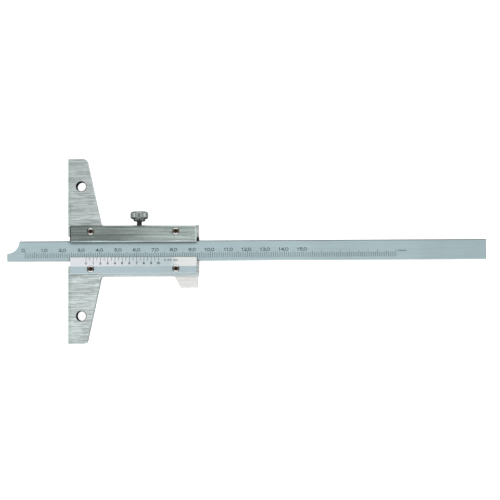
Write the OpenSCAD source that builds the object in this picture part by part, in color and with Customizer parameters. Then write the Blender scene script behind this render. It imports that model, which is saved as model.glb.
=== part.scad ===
// Vernier depth gauge with a 100 mm base, reading 0 to 150 mm to 0.05 mm.
// It lies on its back. x runs from the measuring face along the beam, y runs across the beam
// towards the clamp screw, and z runs up from the back to the graduated side.
// The origin is on the back, in the plane of the measuring face, on the centreline of the beam.

/* [Base] */
// Length of the measuring face, across the beam
base_l = 100; // [84:1:140]
// Width of each arm at its outer end
arm_end_w = 10; // [8:0.1:13]
// Width of each arm where it meets the slider
arm_root_w = 17.8; // [14:0.1:24]
// Radius of the outer corner of each arm
arm_corner_r = 2; // [0.5:0.1:3]
// Radius of the fillet between each arm and the slider
arm_fillet_r = 1.6; // [0.4:0.1:3]
// Width of the bevel along the front edge of the measuring face
face_bevel_w = 1.8; // [0.5:0.1:3]
// Depth of that bevel
face_bevel_d = 0.6; // [0.2:0.05:1]
// Diameter of the holes that take a longer base
base_hole_d = 5.2; // [3:0.1:6]
// Distance from the measuring face to the centre of each hole
base_hole_x = 7.1; // [5:0.1:8]
// Distance from the end of each arm to the centre of its hole
base_hole_inset = 15; // [8:0.5:20]
// Depth of the relief in the measuring face where the beam comes out
relief_d = 1.2; // [0.5:0.1:3]
// Width of the relief on each side of the beam
relief_margin = 2.6; // [1.5:0.1:5]

/* [Slider] */
// Length of the slider, from the measuring face
slider_l = 70.6; // [62:0.1:90]
// Width of the slider, across the beam
slider_w = 27.6; // [26:0.1:34]
// Thickness of the wall behind the beam
back_t = 3.2; // [3.2:0.1:5]
// Width of the thumb rest where it joins the slider
rest_w = 12.6; // [8:0.1:20]
// Reach of the thumb rest beyond the slider
rest_reach = 6.2; // [3:0.1:10]
// Slant of the side of the thumb rest, from root to end
rest_slant = 3.3; // [0:0.1:5]
// Distance from the end of the slider to the thumb rest
rest_inset = 0.7; // [0:0.1:4]
// Depth of the step from the slider down to the thumb rest
rest_step = 1.2; // [0.4:0.1:2]
// Size of the chamfer round the end of the thumb rest
rest_chamfer = 0.5; // [0.2:0.1:1]

/* [Beam] */
// Length of the beam
beam_l = 258.6; // [245:0.1:400]
// Width of the beam
beam_w = 10.9; // [9:0.1:13]
// Thickness of the beam
beam_t = 3.5; // [3:0.1:5]
// Radius of the notch that leaves the nose at the tip
nose_notch_r = 6.6; // [3:0.1:8]
// Size of the chamfer along the four long edges
beam_chamfer = 0.4; // [0.1:0.05:0.5]
// Depth that the gauge is set to, which is how far the tip stands out
reading = 32.9; // [0:0.05:150]

/* [Main scale] */
// Distance from the tip to the zero line
scale_start = 9.8; // [8:0.1:14]
// Length of the scale
scale_l = 200; // [150:10:210]
// Width of each engraved line
line_w = 0.19; // [0.08:0.01:0.25]
// Depth of each engraved line
line_depth = 0.05; // [0.03:0.01:0.1]
// Stretch of each line that the edge of the vernier covers
line_foot = 0.35; // [0.2:0.05:1]
// Length of the millimetre lines
line_short = 2.6; // [1.5:0.1:3]
// Length of the five-millimetre lines
line_mid = 3.2; // [2:0.1:4]
// Length of the ten-millimetre lines
line_long = 3.7; // [2.5:0.1:5]

/* [Vernier] */
// Number of divisions of the vernier
vernier_divisions = 20; // [10:10:20]
// Length of the vernier scale
vernier_l = 39; // [19:10:39]
// How far the edge of the vernier lies over the beam
vernier_lap = 2.1; // [1:0.05:3]
// Width of the bevel that carries the lines
vernier_bevel_w = 5; // [3.6:0.1:6]
// Thickness of the vernier plate at its edge
vernier_edge_t = 0.2; // [0.15:0.05:0.5]
// Length of the short vernier lines, down the bevel
vernier_line_short = 2.1; // [1:0.1:2.6]
// Length of the long vernier lines, down the bevel
vernier_line_long = 2.9; // [1.5:0.1:3.4]
// Distance from the lower side of the slider to the vernier plate
vernier_side_inset = 1.5; // [0.5:0.1:2.5]

/* [Cover plate] */
// How far the cover plate lies over the beam
cover_lap = 0.75; // [0.3:0.05:2]
// Distance from the upper side of the slider to the cover plate
cover_side_inset = 0.1; // [0:0.05:1.5]
// Thickness of both plates
plate_t = 2; // [1.6:0.1:3]
// Distance from each end of the slider to the plates
plate_end_inset = 1.15; // [0.5:0.05:3]
// Size of the chamfer round the front of the cover plate
cover_chamfer = 0.7; // [0.1:0.05:0.9]
// Size of the chamfer round the front of the vernier plate
vernier_chamfer = 0.3; // [0.1:0.05:0.6]

/* [Plate screws] */
// Distance from each end of a plate to its screw
plate_screw_inset = 11.2; // [6:0.1:15]
// Diameter of the thread
plate_screw_d = 2; // [1.4:0.1:2.6]
// Length of the thread below the plate
plate_screw_depth = 4; // [2:0.1:5]
// Diameter of the head
head_d = 3.6; // [3:0.1:4.2]
// Height of the head
head_h = 1.25; // [0.9:0.05:1.6]
// Radius of the rounded edge of the head
head_round = 0.55; // [0.2:0.05:0.8]
// Thickness of the plate under the head
head_seat_t = 0.6; // [0.4:0.05:1]
// Width of the slot
slot_w = 0.55; // [0.3:0.05:0.8]
// Depth of the slot
slot_depth = 0.55; // [0.3:0.05:0.8]

/* [Gib] */
// Thickness of the gib strip
gib_t = 1.2; // [0.8:0.1:2]
// Room behind the gib strip, which it uses when the clamp is slack
gib_room = 0.65; // [0.6:0.05:1.2]
// Distance from each end of the slider to the gib strip
gib_end_gap = 3.6; // [2:0.1:8]
// Distance from each plate screw to the gib screw beside it
gib_screw_inset = 7; // [4:0.5:9]
// Diameter of the gib screws
gib_screw_d = 2.5; // [2:0.1:3]
// Depth of the gib screws below the side of the slider
gib_screw_sink = 0.3; // [0:0.1:1]
// Diameter of the dog point that holds the gib strip endways
dog_d = 1.4; // [1:0.1:1.8]
// Reach of the dog point into the gib strip
dog_reach = 0.6; // [0.4:0.05:0.7]

/* [Clamp screw] */
// Distance from the middle of the slider to the clamp screw
clamp_offset = 3.1; // [-5:0.1:5]
// Diameter of the thread
clamp_d = 3; // [2:0.1:3.2]
// Pitch of the thread
thread_pitch = 0.5; // [0.35:0.05:0.7]
// Depth of the thread
thread_depth = 0.28; // [0.1:0.01:0.3]
// Stretch of thread between the slider and the collar
neck_l = 2.2; // [1:0.1:5]
// Diameter of the collar under the knob
collar_d = 6.4; // [4:0.1:8]
// Height of the collar
collar_h = 1.3; // [0.5:0.1:3]
// Diameter of the knob
knob_d = 9.8; // [9:0.1:9.9]
// Height of the knob
knob_h = 4.1; // [3:0.1:7]
// Radius of the rounded top of the knob
knob_round = 1.5; // [0.5:0.1:2]
// Size of the chamfer under the knob
knob_chamfer = 0.8; // [0.1:0.1:1.2]
// Number of teeth of the straight knurl
knurl_teeth = 44; // [24:2:60]
// Depth of the knurl
knurl_depth = 0.16; // [0.1:0.02:0.5]
// Share of the knurl's pitch that each groove takes
knurl_groove = 0.35; // [0.3:0.05:0.8]

/* [Clearances] */
// Gap between the beam and each face that guides it
slide_gap = 0.05; // [0.02:0.01:0.1]
// Gap between the clamped gib strip and the beam
clamp_gap = 0.02; // [0.01:0.01:0.05]
// Radial gap between a thread and its hole
thread_gap = 0.04; // [0.01:0.01:0.1]
// Radial gap round a screw head and round a dog point
head_gap = 0.2; // [0.1:0.05:0.3]

/* [Hidden] */

// Levels and edges that the pieces share
cut = 1;
base_t = back_t + beam_t + 2 * slide_gap;
screw_z = back_t + slide_gap + beam_t / 2;
beam_z = back_t + slide_gap;
beam_top = beam_z + beam_t;
beam_edge = beam_w / 2;
channel_low = -beam_edge - slide_gap;
gib_inner = beam_edge + clamp_gap;
gib_outer = gib_inner + gib_t;
channel_high = gib_outer + gib_room;
slider_side = slider_w / 2;
plate_l = slider_l - 2 * plate_end_inset;
plate_top = base_t + plate_t;
vernier_edge_y = vernier_lap - beam_edge;
cover_screw_y = (channel_high + slider_side) / 2;
vernier_screw_y = (channel_low - slider_side) / 2;
left_screw_x = plate_end_inset + plate_screw_inset;
right_screw_x = slider_l - plate_end_inset - plate_screw_inset;
gib_screws_x = [left_screw_x + gib_screw_inset, right_screw_x - gib_screw_inset];
clamp_x = slider_l / 2 + clamp_offset;
knob_y = slider_side + neck_l + collar_h;

steel = [0.74, 0.78, 0.78];
satin_steel = [0.69, 0.75, 0.77];
ground_steel = [0.58, 0.63, 0.62];
bright_steel = [0.84, 0.87, 0.87];
dark_steel = [0.42, 0.44, 0.43];
bronze = [0.72, 0.55, 0.33];

// Points of an arc about a centre, from one angle to another
function arc_points(centre, radius, from, to, steps = 8) = [
    for (i = [0 : steps])
        let (a = from + (to - from) * i / steps)
        centre + radius * [cos(a), sin(a)]
];

// Shapes that are used more than once
module along_x(length) {
    rotate([90, 0, 90]) linear_extrude(length) children();
}

module along_y(length) {
    rotate([-90, 0, 0]) linear_extrude(length) mirror([0, 1]) children();
}

// A body of revolution about an axis along y, drawn as [radius, y]
module turned_along_y(points) {
    rotate([-90, 0, 0]) rotate_extrude($fn = 96) polygon(points);
}

module screw_slot(width, depth, length) {
    translate([-length / 2, -width / 2, -depth]) cube([length, width, depth + cut]);
}

// Base: measuring arms, slider and thumb rest in one piece

// Half of the outline, above the centreline
module arm_outline() {
    taper = (arm_root_w - arm_end_w) / (base_l / 2 - slider_side);
    slope = atan(taper);
    corner_y = base_l / 2 - arm_corner_r;
    corner_x = arm_end_w - arm_corner_r * (1 / cos(slope) - taper);
    fillet_y = slider_side + arm_fillet_r;
    fillet_x = arm_root_w + arm_fillet_r * (1 / cos(slope) - taper);
    polygon(concat(
        [[0, 0], [slider_l, 0], [slider_l, slider_side]],
        arc_points([fillet_x, fillet_y], arm_fillet_r, 270, 180 + slope),
        arc_points([corner_x, corner_y], arm_corner_r, slope, 90),
        [[0, base_l / 2]]
    ));
}

module thumb_rest() {
    right = slider_l - rest_inset;
    left = right - rest_w;
    end_y = -slider_side - rest_reach;
    rest_top = base_t - rest_step;
    root_y = channel_low - 1;
    intersection() {
        linear_extrude(rest_top) polygon([
            [left, root_y], [left, -slider_side], [left + rest_slant, end_y],
            [right, end_y], [right, root_y]
        ]);
        along_x(slider_l + cut) polygon([
            [root_y, 0], [root_y, rest_top], [end_y + rest_chamfer, rest_top],
            [end_y, rest_top - rest_chamfer], [end_y, rest_chamfer], [end_y + rest_chamfer, 0]
        ]);
    }
}

module blank() {
    intersection() {
        linear_extrude(base_t) {
            arm_outline();
            mirror([0, 1]) arm_outline();
        }
        translate([0, -base_l, 0]) along_y(2 * base_l) polygon([
            [0, 0], [slider_l, 0], [slider_l, base_t],
            [face_bevel_w, base_t], [0, base_t - face_bevel_d]
        ]);
    }
    thumb_rest();
}

module base_frame() {
    hole_y = base_l / 2 - base_hole_inset;
    relief_y = beam_edge + relief_margin;
    color(steel) difference() {
        blank();
        // Channel for the beam and the gib strip
        translate([-cut, channel_low, back_t])
            cube([slider_l + 2 * cut, channel_high - channel_low, base_t]);
        translate([-cut, -relief_y, -cut])
            cube([relief_d + cut, 2 * relief_y, base_t + 2 * cut]);
        for (side = [-1, 1])
            translate([base_hole_x, side * hole_y, -cut])
                cylinder(d = base_hole_d, h = base_t + 2 * cut, $fn = 64);
        for (x = [left_screw_x, right_screw_x], y = [cover_screw_y, vernier_screw_y])
            translate([x, y, base_t - plate_screw_depth - thread_gap])
                cylinder(r = plate_screw_d / 2 + thread_gap, h = base_t, $fn = 48);
        // Tapped holes through the upper side
        translate([clamp_x, channel_high - cut, screw_z]) rotate([-90, 0, 0])
            cylinder(r = clamp_d / 2 + thread_gap, h = slider_w, $fn = 48);
        for (x = gib_screws_x)
            translate([x, channel_high - cut, screw_z]) rotate([-90, 0, 0])
                cylinder(r = gib_screw_d / 2 + thread_gap, h = slider_w, $fn = 48);
    }
}

// Plates on the front of the slider

// Side view of a plate: its two ends are chamfered at the front
module plate_ends(chamfer) {
    translate([plate_end_inset, -slider_w, base_t]) along_y(2 * slider_w) polygon([
        [0, 0], [plate_l, 0], [plate_l, plate_t - chamfer], [plate_l - chamfer, plate_t],
        [chamfer, plate_t], [0, plate_t - chamfer]
    ]);
}

module plate_screw_holes(y) {
    for (x = [left_screw_x, right_screw_x]) translate([x, y, base_t]) {
        translate([0, 0, -cut])
            cylinder(r = plate_screw_d / 2 + head_gap, h = plate_t + 2 * cut, $fn = 48);
        translate([0, 0, head_seat_t])
            cylinder(r = head_d / 2 + head_gap, h = plate_t, $fn = 64);
    }
}

module cover_plate() {
    low = beam_edge - cover_lap;
    high = slider_side - cover_side_inset;
    color(ground_steel) difference() {
        intersection() {
            plate_ends(cover_chamfer);
            translate([0, 0, base_t]) along_x(slider_l) polygon([
                [low, 0], [high, 0], [high, plate_t - cover_chamfer],
                [high - cover_chamfer, plate_t], [low + cover_chamfer, plate_t],
                [low, plate_t - cover_chamfer]
            ]);
        }
        plate_screw_holes(cover_screw_y);
    }
}

// Vernier lines, drawn flat with the edge of the plate along x
module vernier_lines() {
    for (i = [0 : vernier_divisions]) {
        length = i % 2 == 0 ? vernier_line_long : vernier_line_short;
        translate([scale_start + i * vernier_l / vernier_divisions - line_w / 2, -length])
            square([line_w, length + cut]);
    }
}

module vernier_plate() {
    low = vernier_side_inset - slider_side;
    bevel_y = vernier_edge_y - vernier_bevel_w;
    bevel_angle = atan((plate_t - vernier_edge_t) / vernier_bevel_w);
    color(bright_steel) difference() {
        intersection() {
            plate_ends(vernier_chamfer);
            translate([0, 0, base_t]) along_x(slider_l) polygon([
                [low, 0], [vernier_edge_y, 0], [vernier_edge_y, vernier_edge_t],
                [bevel_y, plate_t], [low + vernier_chamfer, plate_t],
                [low, plate_t - vernier_chamfer]
            ]);
        }
        plate_screw_holes(vernier_screw_y);
        translate([0, vernier_edge_y, base_t + vernier_edge_t]) rotate([-bevel_angle, 0, 0])
            translate([0, 0, -line_depth]) linear_extrude(cut) vernier_lines();
    }
}

// Screws

// Slotted fillister screw, with the seat of its head at the origin
module plate_screw(turn) {
    color(bright_steel) rotate([0, 0, turn]) difference() {
        rotate_extrude($fn = 64) polygon(concat(
            [[0, -plate_screw_depth - head_seat_t], [plate_screw_d / 2, -plate_screw_depth - head_seat_t],
             [plate_screw_d / 2, 0], [head_d / 2, 0]],
            arc_points([head_d / 2 - head_round, head_h - head_round], head_round, 0, 90, 5),
            [[0, head_h]]
        ));
        translate([0, 0, head_h]) screw_slot(slot_w, slot_depth, 2 * head_d);
    }
}

module seated_plate_screw(x, y, turn) {
    translate([x, y, base_t + head_seat_t]) plate_screw(turn);
}

module cover_screw_left() {
    seated_plate_screw(left_screw_x, cover_screw_y, 14);
}

module cover_screw_right() {
    seated_plate_screw(right_screw_x, cover_screw_y, -9);
}

module vernier_screw_left() {
    seated_plate_screw(left_screw_x, vernier_screw_y, 6);
}

module vernier_screw_right() {
    seated_plate_screw(right_screw_x, vernier_screw_y, -18);
}

// Headless screw with a slot outside and a dog point that enters the gib strip
module gib_screw(x, turn) {
    outer_y = slider_side - gib_screw_sink;
    tip_y = gib_outer - dog_reach;
    color(dark_steel) translate([x, 0, screw_z]) difference() {
        turned_along_y([
            [0, tip_y], [dog_d / 2, tip_y], [dog_d / 2, channel_high],
            [gib_screw_d / 2, channel_high], [gib_screw_d / 2, outer_y], [0, outer_y]
        ]);
        translate([0, outer_y, 0]) rotate([-90, turn, 0])
            screw_slot(slot_w, slot_depth, 2 * gib_screw_d);
    }
}

module gib_screw_left() {
    gib_screw(gib_screws_x[0], 20);
}

module gib_screw_right() {
    gib_screw(gib_screws_x[1], -35);
}

// Beam

module main_lines() {
    for (i = [0 : scale_l]) {
        length = i % 10 == 0 ? line_long : i % 5 == 0 ? line_mid : line_short;
        translate([scale_start + i - line_w / 2, vernier_edge_y - line_foot])
            square([line_w, length]);
    }
}

module main_beam() {
    low = beam_z;
    high = beam_top;
    c = beam_chamfer;
    color(satin_steel) translate([-reading, 0, 0]) difference() {
        along_x(beam_l) polygon([
            [-beam_edge + c, low], [beam_edge - c, low], [beam_edge, low + c],
            [beam_edge, high - c], [beam_edge - c, high], [-beam_edge + c, high],
            [-beam_edge, high - c], [-beam_edge, low + c]
        ]);
        translate([0, beam_edge, low - cut])
            cylinder(r = nose_notch_r, h = beam_t + 2 * cut, $fn = 96);
        translate([0, 0, high - line_depth]) linear_extrude(cut) main_lines();
    }
}

// Clamp: gib strip that presses on the edge of the beam, and its screw

module gib_strip() {
    color(bronze) difference() {
        translate([gib_end_gap, gib_inner, beam_z])
            cube([slider_l - 2 * gib_end_gap, gib_t, beam_t]);
        for (x = gib_screws_x)
            translate([x, gib_inner - cut, screw_z]) rotate([-90, 0, 0])
                cylinder(r = dog_d / 2 + head_gap / 2, h = gib_t + 2 * cut, $fn = 32);
    }
}

// Outline of a straight knurl, with flat crests and a groove between each two
module knurl() {
    pitch = 360 / knurl_teeth;
    crest = pitch * (1 - knurl_groove);
    root = crest + pitch * knurl_groove / 2;
    polygon([
        for (i = [0 : knurl_teeth - 1], side = [[0, 0], [crest, 0], [root, knurl_depth]])
            let (a = i * pitch + side[0])
            (knob_d / 2 - side[1]) * [cos(a), sin(a)]
    ]);
}

// The turned blank is a little wider than the knurl, so that its ends alone shape the teeth
module knob() {
    top = knob_y + knob_h;
    r = knob_d / 2 + thread_gap;
    intersection() {
        turned_along_y(concat(
            [[0, knob_y - cut], [collar_d / 2 - cut, knob_y - cut], [collar_d / 2 - cut, knob_y],
             [r - knob_chamfer, knob_y], [r, knob_y + knob_chamfer]],
            arc_points([r - knob_round, top - knob_round], knob_round, 0, 90, 6),
            [[0, top]]
        ));
        translate([0, knob_y - cut, 0]) rotate([-90, 0, 0]) linear_extrude(knob_h + 2 * cut)
            knurl();
    }
}

module clamp_screw() {
    thread_end = knob_y - collar_h;
    turns = floor((thread_end - gib_outer) / thread_pitch) - 1;
    crest = clamp_d / 2;
    root = crest - thread_depth;
    color(steel) translate([clamp_x, 0, screw_z]) {
        turned_along_y(concat(
            [[0, gib_outer + clamp_gap], [root, gib_outer + clamp_gap]],
            [for (i = [1 : turns])
                let (y = thread_end - (turns - i) * thread_pitch)
                each [[root, y - thread_pitch * 0.95], [crest, y - thread_pitch * 0.55],
                      [crest, y - thread_pitch * 0.45], [root, y - thread_pitch * 0.05]]],
            [[root, thread_end], [collar_d / 2 - knob_chamfer / 2, thread_end],
             [collar_d / 2, thread_end + knob_chamfer / 2], [collar_d / 2, knob_y + cut / 2],
             [0, knob_y + cut / 2]]
        ));
        knob();
    }
}

base_frame();
cover_plate();
vernier_plate();
cover_screw_left();
cover_screw_right();
vernier_screw_left();
vernier_screw_right();
main_beam();
gib_strip();
gib_screw_left();
gib_screw_right();
clamp_screw();
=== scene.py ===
"""Vernier depth gauge, dressed and lit for its photograph.

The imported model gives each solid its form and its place. This script gives the
solids their finishes, and adds what is too fine for them: the black enamel in
the graduation lines, the figures of both scales, and the small unit marks.
All lengths are in metres; sizes that a maker would state in millimetres are
written as a number times MM.
"""

import logging
import math
from dataclasses import dataclass, fields
from enum import Enum
from functools import cached_property
from typing import ClassVar

import bpy
from mathutils import Euler, Matrix, Vector


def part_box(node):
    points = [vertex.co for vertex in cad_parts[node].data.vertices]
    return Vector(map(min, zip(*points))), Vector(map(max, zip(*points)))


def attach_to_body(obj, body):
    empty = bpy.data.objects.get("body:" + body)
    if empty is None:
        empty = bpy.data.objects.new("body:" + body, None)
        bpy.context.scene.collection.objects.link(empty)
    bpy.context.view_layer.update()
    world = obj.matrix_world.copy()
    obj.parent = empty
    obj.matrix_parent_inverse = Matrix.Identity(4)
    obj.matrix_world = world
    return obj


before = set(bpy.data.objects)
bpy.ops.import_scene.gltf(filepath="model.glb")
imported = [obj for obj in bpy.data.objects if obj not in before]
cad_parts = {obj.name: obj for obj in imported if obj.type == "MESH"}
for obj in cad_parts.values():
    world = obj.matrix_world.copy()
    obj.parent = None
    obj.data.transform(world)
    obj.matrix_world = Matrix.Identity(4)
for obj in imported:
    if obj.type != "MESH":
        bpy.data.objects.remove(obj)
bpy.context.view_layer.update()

MM = 0.001
LOG = logging.getLogger("depth_gauge")

Colour = tuple[float, float, float]
Point = tuple[float, float]
Socket = bpy.types.NodeSocket
Sockets = dict[str, Socket]
# The width and the height of a figure, the width of its stroke, and the gap after it.
Writing = tuple[float, float, float, float]


class Body(Enum):
    """The bodies that the added pieces ride on."""

    BASE = "base"
    BEAM = "beam"


class Axis(Enum):
    """The line that a piece was turned about, or along which a finish changes."""

    X = "X"
    Y = "Y"
    Z = "Z"


def grey(level: float) -> Colour:
    """Returns a neutral colour."""
    return (level, level, level)


def opaque(colour: Colour) -> tuple[float, float, float, float]:
    """Returns a colour with full alpha."""
    return (*colour, 1.0)


class Nodes:
    """Adds nodes to one tree, feeds their inputs and joins them."""

    def __init__(self, tree: bpy.types.NodeTree) -> None:
        """Keeps the tree.

        Args:
            tree: A shader or geometry node tree.
        """
        self.tree = tree

    def feed(self, socket: Socket, value: object) -> None:
        """Sets an input, or links it if the value is another node's output."""
        if isinstance(value, Socket):
            self.tree.links.new(value, socket)
        elif socket.type == "RGBA":
            socket.default_value = opaque(value[:3])
        else:
            socket.default_value = value

    def add(
        self, kind: str, inputs: dict[str | int, object] | None = None, **settings: object
    ) -> bpy.types.Node:
        """Adds a node.

        Args:
            kind: The node's bl_idname.
            inputs: A value or an output socket for each input name or index.
            settings: The node's own properties.

        Returns:
            The new node.
        """
        node = self.tree.nodes.new(kind)
        for name, setting in settings.items():
            setattr(node, name, setting)
        for key, value in (inputs or {}).items():
            self.feed(node.inputs[key], value)
        return node

    def math(self, operation: str, *values: object) -> Socket:
        """Adds a Math node and returns its result."""
        node = self.add("ShaderNodeMath", dict(enumerate(values)), operation=operation)
        return node.outputs[0]

    def blend(self, share: object, first: object, second: object) -> Socket:
        """Mixes two colours.

        Args:
            share: How much of the second colour, from 0 to 1.
            first: A colour or a colour socket.
            second: A colour or a colour socket.

        Returns:
            The mixed colour.
        """
        node = self.add("ShaderNodeMix", data_type="RGBA")
        for key, value in (("Factor", share), (6, first), (7, second)):
            self.feed(node.inputs[key], value)
        return node.outputs[2]

    def product(self, first: object, *others: object) -> Socket:
        """Multiplies numbers, one after the other."""
        for other in others:
            first = self.math("MULTIPLY", first, other)
        return first

    def vector(self, operation: str, *values: object) -> Socket:
        """Adds a Vector Math node.

        Args:
            operation: What it does with the vectors.
            values: Its vectors.

        Returns:
            Its result: a number where vectors are measured, or else a vector.
        """
        node = self.add("ShaderNodeVectorMath", dict(enumerate(values)), operation=operation)
        measured = operation in ("DISTANCE", "DOT_PRODUCT", "LENGTH")
        return node.outputs["Value" if measured else "Vector"]

    def parts(self, vector: Socket) -> bpy.types.NodeOutputs:
        """Takes a vector apart into X, Y and Z."""
        return self.add("ShaderNodeSeparateXYZ", {0: vector}).outputs

    def join(self, *values: object) -> Socket:
        """Makes a vector from up to three numbers."""
        return self.add("ShaderNodeCombineXYZ", dict(enumerate(values))).outputs[0]

    def noise(self, place: Socket, scale: object, detail: float) -> Socket:
        """Draws a soft noise that makes use of the whole range from 0 to 1."""
        inputs = {"Vector": place, "Scale": scale, "Detail": detail}
        node = self.add("ShaderNodeTexNoise", inputs)
        return self.spread(node.outputs["Fac"], (0.3, 0.7))

    @cached_property
    def place(self) -> Socket:
        """The piece's own coordinates."""
        return self.add("ShaderNodeTexCoord").outputs["Object"]

    @cached_property
    def at(self) -> bpy.types.NodeOutputs:
        """The piece's own coordinates, taken apart into X, Y and Z."""
        return self.parts(self.place)

    @cached_property
    def facing(self) -> Socket:
        """The direction that a face has on the piece itself."""
        return self.add("ShaderNodeTexCoord").outputs["Normal"]

    def dim(self, colour: object, level: object) -> Socket:
        """Multiplies a colour by a number."""
        node = self.add(
            "ShaderNodeVectorMath", {0: colour, "Scale": level}, operation="SCALE"
        )
        return node.outputs[0]

    def spread(
        self, value: object, source: Point, target: Point = (0, 1), smooth: bool = False
    ) -> Socket:
        """Maps a value from one range to another, clamped to the second.

        Args:
            value: The value to map.
            source: The range that the value has.
            target: The range that the result has.
            smooth: Whether the change eases in and out.

        Returns:
            The mapped value.
        """
        node = self.add(
            "ShaderNodeMapRange",
            {0: value, 1: source[0], 2: source[1], 3: target[0], 4: target[1]},
            interpolation_type="SMOOTHSTEP" if smooth else "LINEAR",
        )
        return node.outputs[0]


class ShaderGroup:
    """A shader node group that several finishes share, built once.

    Each of its outputs is a number, but for one that is named Normal.
    """

    name = ""
    values: dict[str, float] = {}
    outputs: tuple[str, ...] = ()

    @classmethod
    def tree(cls) -> bpy.types.NodeTree:
        """Returns the group's tree, building it on first use."""
        found = bpy.data.node_groups.get(cls.name)
        if found:
            return found
        tree = bpy.data.node_groups.new(cls.name, "ShaderNodeTree")
        face = tree.interface
        face.new_socket("Vector", in_out="INPUT", socket_type="NodeSocketVector")
        for name, value in cls.values.items():
            socket = face.new_socket(name, in_out="INPUT", socket_type="NodeSocketFloat")
            socket.default_value = value
        for name in cls.outputs:
            kind = "NodeSocketVector" if name == "Normal" else "NodeSocketFloat"
            face.new_socket(name, in_out="OUTPUT", socket_type=kind)
        nodes = Nodes(tree)
        source = nodes.add("NodeGroupInput")
        sink = nodes.add("NodeGroupOutput")
        for name, socket in cls.wire(nodes, source.outputs).items():
            nodes.feed(sink.inputs[name], socket)
        return tree

    @classmethod
    def wire(cls, nodes: Nodes, given: bpy.types.NodeOutputs) -> Sockets:
        """Builds the inside of the group.

        Args:
            nodes: The group's own tree.
            given: The group's inputs.

        Returns:
            A socket for each of the group's outputs.
        """
        raise NotImplementedError

    @classmethod
    def place(cls, nodes: Nodes, **values: object) -> bpy.types.NodeOutputs:
        """Puts the group into a material.

        Args:
            nodes: The material's tree.
            values: A value or socket for each input that is set.

        Returns:
            The group's outputs.
        """
        return nodes.add("ShaderNodeGroup", values, node_tree=cls.tree()).outputs


class BrushedGrain(ShaderGroup):
    """Streaks along x, as a belt or a wheel leaves them.

    Each of the layers has a share of the grain, and its strokes' length and
    width as shares of the given ones. Bands and scores are sized the same way.
    """

    name = "brushed_grain"
    values = {"Length": 9 * MM, "Width": 0.5 * MM, "Sway": 0.3 * MM}
    outputs = ("Grain", "Bands", "Scores")
    sway_scale = 45.0
    first_row = 0.37
    layers = ((0.5, 1.0, 1.0), (0.3, 0.45, 0.5), (0.2, 0.2, 0.3))
    band_size = (1.6, 4.3)
    score_size = (0.4, 0.8)
    scored = (0.9, 0.96)

    @classmethod
    def wire(cls, nodes: Nodes, given: bpy.types.NodeOutputs) -> Sockets:
        """Lays three sets of strokes along x, and on the sides level all round."""
        sway = nodes.add(
            "ShaderNodeTexNoise",
            {"Vector": given["Vector"], "Scale": cls.sway_scale, "Detail": 1.0},
        )
        at = nodes.parts(given["Vector"])
        upward = nodes.parts(nodes.facing)["Z"]
        side = nodes.math("LESS_THAN", nodes.math("ABSOLUTE", upward), 0.5)
        top = nodes.math("SUBTRACT", 1.0, side)
        level = nodes.math("ADD", nodes.product(at["Y"], top), nodes.product(at["Z"], side))
        offset = nodes.math("SUBTRACT", sway.outputs["Fac"], 0.5)
        across = nodes.math("ADD", level, nodes.product(offset, given["Sway"]))
        run = nodes.math("ADD", at["X"], at["Z"])
        run = nodes.math("ADD", run, nodes.product(at["Y"], side))

        def measured(longer: float, wider: float) -> tuple[Socket, Socket]:
            """Returns both directions, counted in shares of the given sizes."""
            return (
                nodes.math("DIVIDE", run, nodes.product(given["Length"], longer)),
                nodes.math("DIVIDE", across, nodes.product(given["Width"], wider)),
            )

        def strokes(longer: float, wider: float, seed: int) -> Socket:
            """Returns a value for each stroke, laid end to end in even rows."""
            turn, row = measured(longer, wider)
            row = nodes.math("FLOOR", row)
            start = nodes.add(
                "ShaderNodeTexWhiteNoise",
                {"W": nodes.math("ADD", row, cls.first_row + seed)},
                noise_dimensions="1D",
            ).outputs["Value"]
            stroke = nodes.math("FLOOR", nodes.math("ADD", turn, start))
            place = nodes.join(stroke, row, float(seed))
            return nodes.add("ShaderNodeTexWhiteNoise", {"Vector": place}).outputs["Value"]

        grain = 0.0
        for share, longer, wider in cls.layers:
            layer = strokes(longer, wider, round(10 * wider))
            grain = nodes.math("ADD", grain, nodes.product(layer, share))
        return {
            "Grain": grain,
            "Bands": nodes.noise(nodes.join(*measured(*cls.band_size)), 1.0, 2.0),
            "Scores": nodes.spread(strokes(*cls.score_size, 3), cls.scored),
        }


class TurnedRings(ShaderGroup):
    """Fine rings about an axis along z, as a lathe tool leaves them."""

    name = "turned_rings"
    values = {"Pitch": 0.12 * MM}
    outputs = ("Rings",)

    @classmethod
    def wire(cls, nodes: Nodes, given: bpy.types.NodeOutputs) -> Sockets:
        """Draws a noise that changes only with the radius and the height."""
        at = nodes.parts(given["Vector"])
        radius = nodes.vector("LENGTH", nodes.join(at["X"], at["Y"]))
        turns = (nodes.math("DIVIDE", size, given["Pitch"]) for size in (radius, at["Z"]))
        return {"Rings": nodes.noise(nodes.join(*turns), 1.0, 1.0)}


class Corner(ShaderGroup):
    """Painted shade where one piece stands close above another."""

    name = "corner"
    values = {"Reach": 1.9 * MM}
    outputs = ("Corner",)
    samples = 12
    open_to_closed = (1.0, 0.45)

    @classmethod
    def wire(cls, nodes: Nodes, given: bpy.types.NodeOutputs) -> Sockets:
        """Turns how far a spot is closed in into a mask."""
        inputs = {"Distance": given["Reach"]}
        closed = nodes.add("ShaderNodeAmbientOcclusion", inputs, samples=cls.samples)
        return {"Corner": nodes.spread(closed.outputs["AO"], cls.open_to_closed)}


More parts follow.
